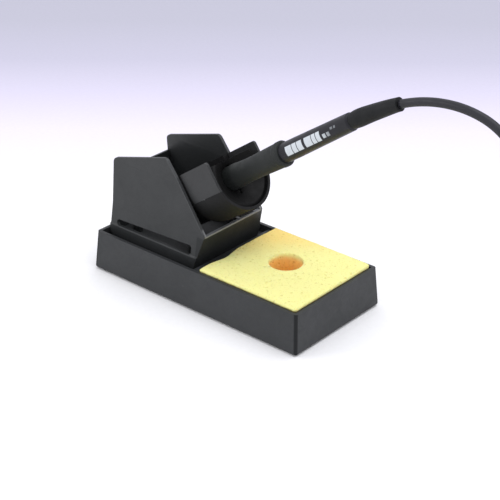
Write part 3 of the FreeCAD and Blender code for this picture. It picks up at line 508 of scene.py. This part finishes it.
M = {
    "tray": moulded("tray_plastic", (0.021, 0.023, 0.024), (0.030, 0.032, 0.034), (0.42, 0.60), dust=0.10, spec=0.38, painted_corner_shade=True),
    "holder": moulded("holder_plastic", (0.020, 0.022, 0.0225), (0.028, 0.030, 0.031), (0.40, 0.56), dust=0.07, spec=0.38, painted_front_light_shade=True),
    "trough": moulded("trough_plastic", (0.022, 0.023, 0.024), (0.030, 0.031, 0.032), (0.40, 0.56), spec=0.4),
    "yoke": moulded("yoke_plastic", (0.006, 0.006, 0.0065), (0.010, 0.010, 0.0105), (0.5, 0.68), spec=0.22),
    "insert": moulded("insert_plastic", (0.0035, 0.0035, 0.0035), (0.006, 0.006, 0.006), (0.45, 0.65), spec=0.16),
    "grip": rubber("grip_rubber", (0.013, 0.015, 0.0144), (0.020, 0.0225, 0.0215), (0.55, 0.75), 2200.0, 0.00008, 0.0, 0.3),
    "relief": rubber("relief_rubber", (0.006, 0.0065, 0.007), (0.010, 0.011, 0.012), spec=0.22),
    "cord": rubber("cord_jacket", (0.015, 0.015, 0.019), (0.022, 0.022, 0.028), (0.42, 0.58), 1200.0, 0.00003, spec=0.34),
    "foot": rubber("foot_rubber", (0.02, 0.02, 0.02), (0.04, 0.04, 0.04)),
    "sheet": metal("plated_sheet", (0.42, 0.42, 0.43), (0.58, 0.58, 0.59), (0.3, 0.5), 700.0, (1.0, 9.0, 1.0)),
    "screw": metal("screw_steel", (0.10, 0.10, 0.105), (0.18, 0.18, 0.185), (0.3, 0.45)),
    "black_screw": metal("blackened_steel", (0.008, 0.008, 0.008), (0.014, 0.014, 0.014), (0.6, 0.8), metallic=0.2),
    "cast": rubber("cast_paint", (0.06, 0.06, 0.06), (0.1, 0.1, 0.1), (0.5, 0.7), 900.0, 0.0002),
    "tip": metal("tip_plating", (0.30, 0.27, 0.25), (0.55, 0.52, 0.50), (0.25, 0.5), 500.0),
    "steel": metal("turned_steel", (0.48, 0.46, 0.43), (0.68, 0.66, 0.62), (0.22, 0.38), 900.0, (1.0, 1.0, 8.0)),
    "ceramic": moulded("ceramic", (0.72, 0.70, 0.64), (0.82, 0.80, 0.74), (0.2, 0.35)),
    "board": moulded("board", (0.38, 0.26, 0.10), (0.48, 0.34, 0.15), (0.3, 0.45)),
    "wire": moulded("wire", (0.30, 0.03, 0.02), (0.42, 0.06, 0.04), (0.3, 0.45)),
    "tie": rubber("tie_fabric", (0.012, 0.012, 0.014), (0.03, 0.03, 0.034), (0.7, 0.9), 3000.0, 0.0002, 0.4),
    "nickel": metal("plug_nickel", (0.52, 0.51, 0.49), (0.70, 0.69, 0.66), (0.14, 0.3), 700.0),
    "plug_black": moulded("plug_insulator", (0.012, 0.012, 0.013), (0.02, 0.02, 0.021), (0.4, 0.6)),
    "brass": metal("contact_brass", (0.62, 0.45, 0.18), (0.80, 0.62, 0.30), (0.2, 0.35)),
}
M["handle"] = handle_material()
M["sponge"] = sponge_material()
M["wick"] = sponge_material("wick_cellulose", (0.86, 0.76, 0.30), (0.74, 0.55, 0.18))

NODE_MATERIAL = {
    "base_tray": "tray", "bottom_plate": "sheet", "ballast_weight": "cast", "plate_screws": "screw", "rubber_feet": "foot",
    "holder_body": "holder", "holder_screws": "screw", "receptacle_trough": "yoke", "receptacle_wings": "trough", "receptacle_insert": "insert",
    "insert_screws": "black_screw", "adjusting_washers": "sheet", "adjusting_screws": "screw", "solder_tip": "tip",
    "tip_enclosure": "steel", "enclosure_nut": "steel", "nipple": "steel", "heater_element": "ceramic", "handle": "handle",
    "grip_sleeve": "grip", "terminal_board": "board", "lead_wires": "wire", "cord_bushing": "relief", "plug_bushing": "relief",
    "plug_shell": "nickel", "plug_insert": "plug_black", "plug_pins": "brass", "coil_tie": "tie", "cord_lead": "cord",
    "cord_drop": "cord", "cord_tail": "cord", "cord_coil": "cord", "cleaning_sponge": "sponge", "wick_sponge": "wick",
}
BEVEL = {
    "base_tray": 0.7, "holder_body": 0.85, "receptacle_trough": 0.45, "receptacle_wings": 0.4, "receptacle_insert": 0.35, "bottom_plate": 0.3,
    "ballast_weight": 0.5, "plug_shell": 0.15, "grip_sleeve": 0.25, "handle": 0.15, "rubber_feet": 0.2, "adjusting_washers": 0.12,
    "adjusting_screws": 0.15, "insert_screws": 0.12, "enclosure_nut": 0.1, "tip_enclosure": 0.1, "plug_pins": 0.12,
}


def paint(ob, key):
    ob.data.materials.clear()
    ob.data.materials.append(M[key])


for name, ob in nodes.items():
    paint(ob, NODE_MATERIAL[name])
    if name in BEVEL:
        b = ob.modifiers.new("edges", "BEVEL")
        b.width = BEVEL[name] * mm
        b.segments = 3
        b.limit_method = "ANGLE"
        b.angle_limit = math.radians(32)
        b.miter_outer = "MITER_ARC"
        b.harden_normals = False
        b.use_clamp_overlap = True

# ------------------------------------------------------------------ cords
line_a = route_line("iron_cord", ROUTE[: LAST + 1] + [JUNCTION], 12)
cord_a = tube("iron_cord", line_a, CORD_D / 2 * mm, 24)
paint(cord_a, "cord")
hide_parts("cord_lead")
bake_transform(cord_a)

tail_y = COIL_C[1] - COIL_C[2]
points_b = [JUNCTION] + ROUTE[LAST + 1:] + coil_points() + [(309.0, tail_y - 2.4, 8.8), (318.0, tail_y - 0.6, 8.3), (324.5, tail_y, 7.8), (331.0, tail_y, 7.8)]
line_b = route_line("table_cord", points_b, 8)
cord_b = tube("table_cord", line_b, CORD_D / 2 * mm, 20)
paint(cord_b, "cord")
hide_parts("cord_drop", "cord_coil", "cord_tail")
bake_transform(cord_b)


def length_of(line):
    return sum((b - a).length for a, b in zip(line, line[1:]))


print("cord lengths", round(length_of(line_a), 4), round(length_of(line_b), 4))

# ------------------------------------------------------------------ floor, lights
me = bpy.data.meshes.new("floor")
S = 6.0
me.from_pydata([(-S, -S, -0.0002), (S, -S, -0.0002), (S, S, -0.0002), (-S, S, -0.0002)], [], [(0, 1, 2, 3)])
floor = bpy.data.objects.new("floor", me)
scene.collection.objects.link(floor)
m, nt, bsdf = new_material("floor_paper")
n = N(nt)
paper = n.ramp(n.noise(300.0, 4.0, 0.6), [(0.3, (0.97, 0.97, 0.97)), (0.7, (1.0, 1.0, 1.0))])
# painted falloff of light: the floor darkens and turns lavender away from the camera
away = n.dot((-0.6464, 0.7630, 0.0), (0.0, 0.0, 0.0))
painted_falloff = n.ramp(n.range(away, 140.0, 640.0, 0.0, 1.0), [(0.0, (0.93, 0.93, 0.93)), (0.15, (0.80, 0.78, 0.845)), (0.28, (0.77, 0.735, 0.83)), (0.42, (0.68, 0.645, 0.78)), (0.63, (0.54, 0.527, 0.635)), (0.86, (0.49, 0.486, 0.57))])
n.link(n.mix(1.0, painted_falloff, paper, "MULTIPLY"), bsdf.inputs["Base Color"])
bsdf.inputs["Roughness"].default_value = 0.9
bsdf.inputs["Specular IOR Level"].default_value = 0.2
me.materials.append(m)

world = bpy.data.worlds.new("studio")
scene.world = world
world.use_nodes = True
bg = next(x for x in world.node_tree.nodes if x.type == "BACKGROUND")
bg.inputs["Color"].default_value = (0.95, 0.95, 1.0, 1.0)
bg.inputs["Strength"].default_value = 1.02
scene.view_settings.view_transform = "Standard"


def area(name, place, target, size, power, colour=(1, 1, 1)):
    d = bpy.data.lights.new(name, "AREA")
    d.shape = "RECTANGLE"
    d.size, d.size_y = size
    d.energy = power
    d.color = colour
    o = bpy.data.objects.new(name, d)
    o.location = place
    o.rotation_euler = (Vector(target) - Vector(place)).to_track_quat("-Z", "Y").to_euler()
    scene.collection.objects.link(o)
    return o


area("key", (-0.85, -1.0, 0.75), (0.0, 0.0, 0.05), (0.5, 0.5), 3.5, (1.0, 0.99, 0.97))
area("top", (0.3, 0.25, 1.4), (0.0, 0.0, 0.0), (1.1, 1.1), 8.0, (0.97, 0.98, 1.0))


# ------------------------------------------------------------------ cleaning sponge
def build_sponge():
    lo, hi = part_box("cleaning_sponge")
    lo, hi = lo / mm, hi / mm
    cx, cy = 43.0, 5.0
    hole = 12.2
    x0, x1 = lo.x + 0.05, hi.x - 0.05
    y0, y1 = lo.y + 0.05, hi.y - 0.05
    step = 0.62
    nx, ny = int((x1 - x0) / step), int((y1 - y0) / step)
    rng = random.Random(4)

    def edge_wave(s, seed, amp):
        return amp * noise.noise(Vector((s * 0.06, seed, 0.3))) + amp * 0.45 * noise.noise(Vector((s * 0.19, seed + 7.7, 0.1)))

    bm = bmesh.new()
    grid = {}
    corner = 2.4

    def outline(fx, fy):
        """The pad's place for 0..1 in each direction, with wavy, slightly drawn-in sides."""
        x = x0 + (x1 - x0) * fx
        y = y0 + (y1 - y0) * fy
        rear = 1.1 + 1.9 * math.exp(-(((y + 16.0) / 8.5) ** 2)) - 0.9 * math.exp(-(((y - 10.0) / 13.0) ** 2)) + edge_wave(y, 1.0, 0.5)
        front = 0.12 + edge_wave(y, 5.0, 0.22)
        near = 0.12 + edge_wave(x, 9.0, 0.22)
        far = 0.05 + edge_wave(x, 13.0, 0.2)
        x += max(0.0, rear) * (1 - fx) ** 5 - max(0.0, front) * fx ** 3
        y += max(0.0, near) * (1 - fy) ** 3 - max(0.0, far) * fy ** 3
        return x, y

    def crown(x, y, fx, fy):
        ex, ey = min(fx, 1 - fx) * (x1 - x0), min(fy, 1 - fy) * (y1 - y0)
        e = min(ex, ey)
        # rounded shoulder near the sides, gentle crown in the middle
        shoulder = 1.0 - max(0.0, 1.0 - e / 1.7) ** 2.4
        z = 31.2 + 0.75 * fy + 0.7 * shoulder + 0.35 * (1.0 - max(0.0, 1.0 - e / 9.0) ** 2)
        z += 0.35 * math.sin(math.pi * fx) * math.sin(math.pi * fy)
        z += 0.33 * noise.noise(Vector((x * 0.045, y * 0.045, 2.0))) + 0.14 * noise.noise(Vector((x * 0.16, y * 0.16, 5.0)))
        r = math.hypot(x - cx, y - cy)
        z -= 0.55 * math.exp(-max(0.0, r - hole) / 0.9)
        # open cells
        d = noise.voronoi(Vector((x * 0.42, y * 0.42, 0.0)))[0][0]
        z -= 0.34 * max(0.0, 1.0 - d / 0.33) ** 1.3
        d2 = noise.voronoi(Vector((x * 0.17 + 9, y * 0.17, 3.0)))[0][0]
        z -= 0.55 * max(0.0, 1.0 - d2 / 0.2) ** 1.2
        return min(z, hi.z - 0.02)

    top = {}
    for i in range(nx + 1):
        for j in range(ny + 1):
            fx, fy = i / nx, j / ny
            x, y = outline(fx, fy)
            # rounded upright corners
            for sx, sy, px, py in ((-1, -1, x0, y0), (1, -1, x1, y0), (1, 1, x1, y1), (-1, 1, x0, y1)):
                qx, qy = px - sx * corner, py - sy * corner
                if (x - qx) * sx > 0 and (y - qy) * sy > 0:
                    dx, dy = (x - qx) * sx, (y - qy) * sy
                    mx = max(dx, dy)
                    if mx > 0:
                        k = mx / math.hypot(dx, dy)
                        x, y = qx + sx * dx * k, qy + sy * dy * k
            r = math.hypot(x - cx, y - cy)
            if r < hole - step * 0.75:
                continue
            if r < hole + step * 0.75:
                k = hole / max(r, 1e-6)
                x, y = cx + (x - cx) * k, cy + (y - cy) * k
            top[i, j] = (x, y, crown(x, y, fx, fy))
    vt = {k: bm.verts.new(Vector(p) * mm) for k, p in top.items()}
    for i in range(nx):
        for j in range(ny):
            q = [(i, j), (i + 1, j), (i + 1, j + 1), (i, j + 1)]
            have = [k for k in q if k in vt]
            if len(have) == 4:
                bm.faces.new([vt[k] for k in q])
            elif len(have) == 3:
                bm.faces.new([vt[k] for k in have])
    bm.verts.ensure_lookup_table()
    # sides and the wall of the hole: pull the open edges down in rings
    rim = [e for e in bm.edges if e.is_boundary]
    levels = [29.6, 27.0, 24.0, 20.5, 17.0, 14.6, lo.z + 0.1]
    loops = rim
    current = {v: v for e in rim for v in e.verts}
    for z in levels:
        nxt = {}
        for orig, v in current.items():
            x, y = orig.co.x / mm, orig.co.y / mm
            r = math.hypot(x - cx, y - cy)
            inner = r < hole + 2.0
            wob = 0.22 * noise.noise(Vector((x * 0.35, y * 0.35, z * 0.3)))
            if inner:
                k = (hole - 0.1 + wob - 0.35 * math.sin(math.pi * (31 - z) / 17.0)) / max(r, 1e-6)
                px, py = cx + (x - cx) * k, cy + (y - cy) * k
            else:
                mx, my = (lo.x + hi.x) / 2, (lo.y + hi.y) / 2
                px = x + (wob - 0.18) * (1 if x > mx else -1) * (1 if abs(x - mx) > (hi.x - lo.x) / 2 - 2.5 else 0)
                py = y + (wob - 0.18) * (1 if y > my else -1) * (1 if abs(y - my) > (hi.y - lo.y) / 2 - 2.5 else 0)
                px, py = min(max(px, lo.x + 0.02), hi.x - 0.02), min(max(py, lo.y + 0.02), hi.y - 0.02)
            nxt[orig] = bm.verts.new(Vector((px, py, z)) * mm)
        for e in rim:
            a, b = e.verts
            bm.faces.new((current[a], current[b], nxt[b], nxt[a]))
        current = nxt
    last = [(current[e.verts[0]], current[e.verts[1]]) for e in rim]
    bm.edges.index_update()
    bottom_edges = []
    for a, b in last:
        e = bm.edges.get((a, b))
        if e:
            bottom_edges.append(e)
    bmesh.ops.triangle_fill(bm, use_beauty=True, use_dissolve=False, edges=bottom_edges)
    bmesh.ops.recalc_face_normals(bm, faces=bm.faces)
    me = bpy.data.meshes.new("sponge_pad")
    bm.to_mesh(me)
    bm.free()
    for p in me.polygons:
        p.use_smooth = True
    ob = bpy.data.objects.new("sponge_pad", me)
    scene.collection.objects.link(ob)
    return ob


sponge = build_sponge()
paint(sponge, "sponge")
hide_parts("cleaning_sponge")
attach(sponge, "sponge")

def build_tie():
    """Hook and loop strap round the bundle of turns, its end lapped over itself."""
    a = math.radians(-20.0)
    out = Vector((math.cos(a), math.sin(a), 0.0))
    along_ring = Vector((-math.sin(a), math.cos(a), 0.0))
    mid = Vector((COIL_C[0], COIL_C[1], 0.0)) + out * COIL_C[2] + Vector((0, 0, 6.35))
    half_w, half_h, r = 6.35, 5.85, 3.3
    loop = []
    for cx, cz, a0 in ((half_w - r, half_h - r, 0), (-half_w + r, half_h - r, 90), (-half_w + r, -half_h + r, 180), (half_w - r, -half_h + r, 270)):
        for k in range(9):
            b = math.radians(a0 + 90 * k / 8)
            loop.append((cx + r * math.cos(b), cz + r * math.sin(b)))
    # start on the outer side, go round, and lap over the top to the inner side
    path = loop[0:] + loop[:18]
    n_path = len(path)
    verts, faces = [], []
    rows = 7
    for i, (px, pz) in enumerate(path):
        lift = 0.0 if i < len(loop) else 0.62 * min(1.0, (i - len(loop) + 1) / 3)
        if i > n_path - 4:
            lift += 0.16 * (i - n_path + 4)
        q, p = path[min(i + 1, n_path - 1)], path[max(i - 1, 0)]
        d = Vector((q[0] - p[0], q[1] - p[1])).normalized()
        nx_, nz_ = d.y, -d.x
        for side in (0.0, 0.62):
            for k in range(rows):
                w = 4.2 * (k / (rows - 1) * 2 - 1) * (1.0 if i < n_path - 2 else 0.93 if i < n_path - 1 else 0.8)
                e = lift + side + 0.07 * noise.noise(Vector((i * 0.6, k * 0.9, side)))
                verts.append((mid + out * (px + nx_ * e) + Vector((0, 0, pz + nz_ * e)) + along_ring * w) * mm)
    row = rows * 2
    for i in range(n_path - 1):
        o, p = i * row, (i + 1) * row
        for k in range(rows - 1):
            faces.append((o + k, p + k, p + k + 1, o + k + 1))
            faces.append((o + rows + k, o + rows + k + 1, p + rows + k + 1, p + rows + k))
        faces.append((o, o + rows, p + rows, p))
        faces.append((o + rows - 1, p + rows - 1, p + row - 1, o + row - 1))
    for o in (0, (n_path - 1) * row):
        for k in range(rows - 1):
            f = (o + k, o + k + 1, o + rows + k + 1, o + rows + k)
            faces.append(f if o == 0 else tuple(reversed(f)))
    ob = mesh_object("strap", verts, faces)
    fix_normals(ob)
    b = ob.modifiers.new("edges", "BEVEL")
    b.width = 0.12 * mm
    b.segments = 2
    b.limit_method = "ANGLE"
    b.angle_limit = math.radians(50)
    return ob


tie = build_tie()
paint(tie, "tie")
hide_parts("coil_tie")
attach(tie, "base")

# small sponge in the well: same foam, cut as a strip
lo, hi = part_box("wick_sponge")


def build_wick():
    bm = bmesh.new()
    bmesh.ops.create_cube(bm, size=1.0)
    bmesh.ops.subdivide_edges(bm, edges=bm.edges, cuts=15, use_grid_fill=True)
    size = hi - lo
    mid = (lo + hi) / 2
    for v in bm.verts:
        p = v.co.copy()
        # rounded box
        q = Vector([max(-0.5, min(0.5, c)) for c in p])
        e = [0.5 - abs(c) for c in q]
        co = Vector((q.x * size.x, q.y * size.y, q.z * size.z))
        r = 0.0012
        inner = Vector((max(-size.x / 2 + r, min(size.x / 2 - r, co.x)), max(-size.y / 2 + r, min(size.y / 2 - r, co.y)), max(-size.z / 2 + r, min(size.z / 2 - r, co.z))))
        d = co - inner
        if d.length > r:
            co = inner + d.normalized() * r
        nz = 0.00025 * noise.noise(co * 320.0)
        v.co = mid + co * (1.0 - 0.01) + Vector((nz, nz, 0))
    me = bpy.data.meshes.new("wick_pad")
    bm.to_mesh(me)
    bm.free()
    for p in me.polygons:
        p.use_smooth = True
    ob = bpy.data.objects.new("wick_pad", me)
    scene.collection.objects.link(ob)
    return ob


wick = build_wick()
paint(wick, "wick")
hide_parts("wick_sponge")
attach(wick, "base")
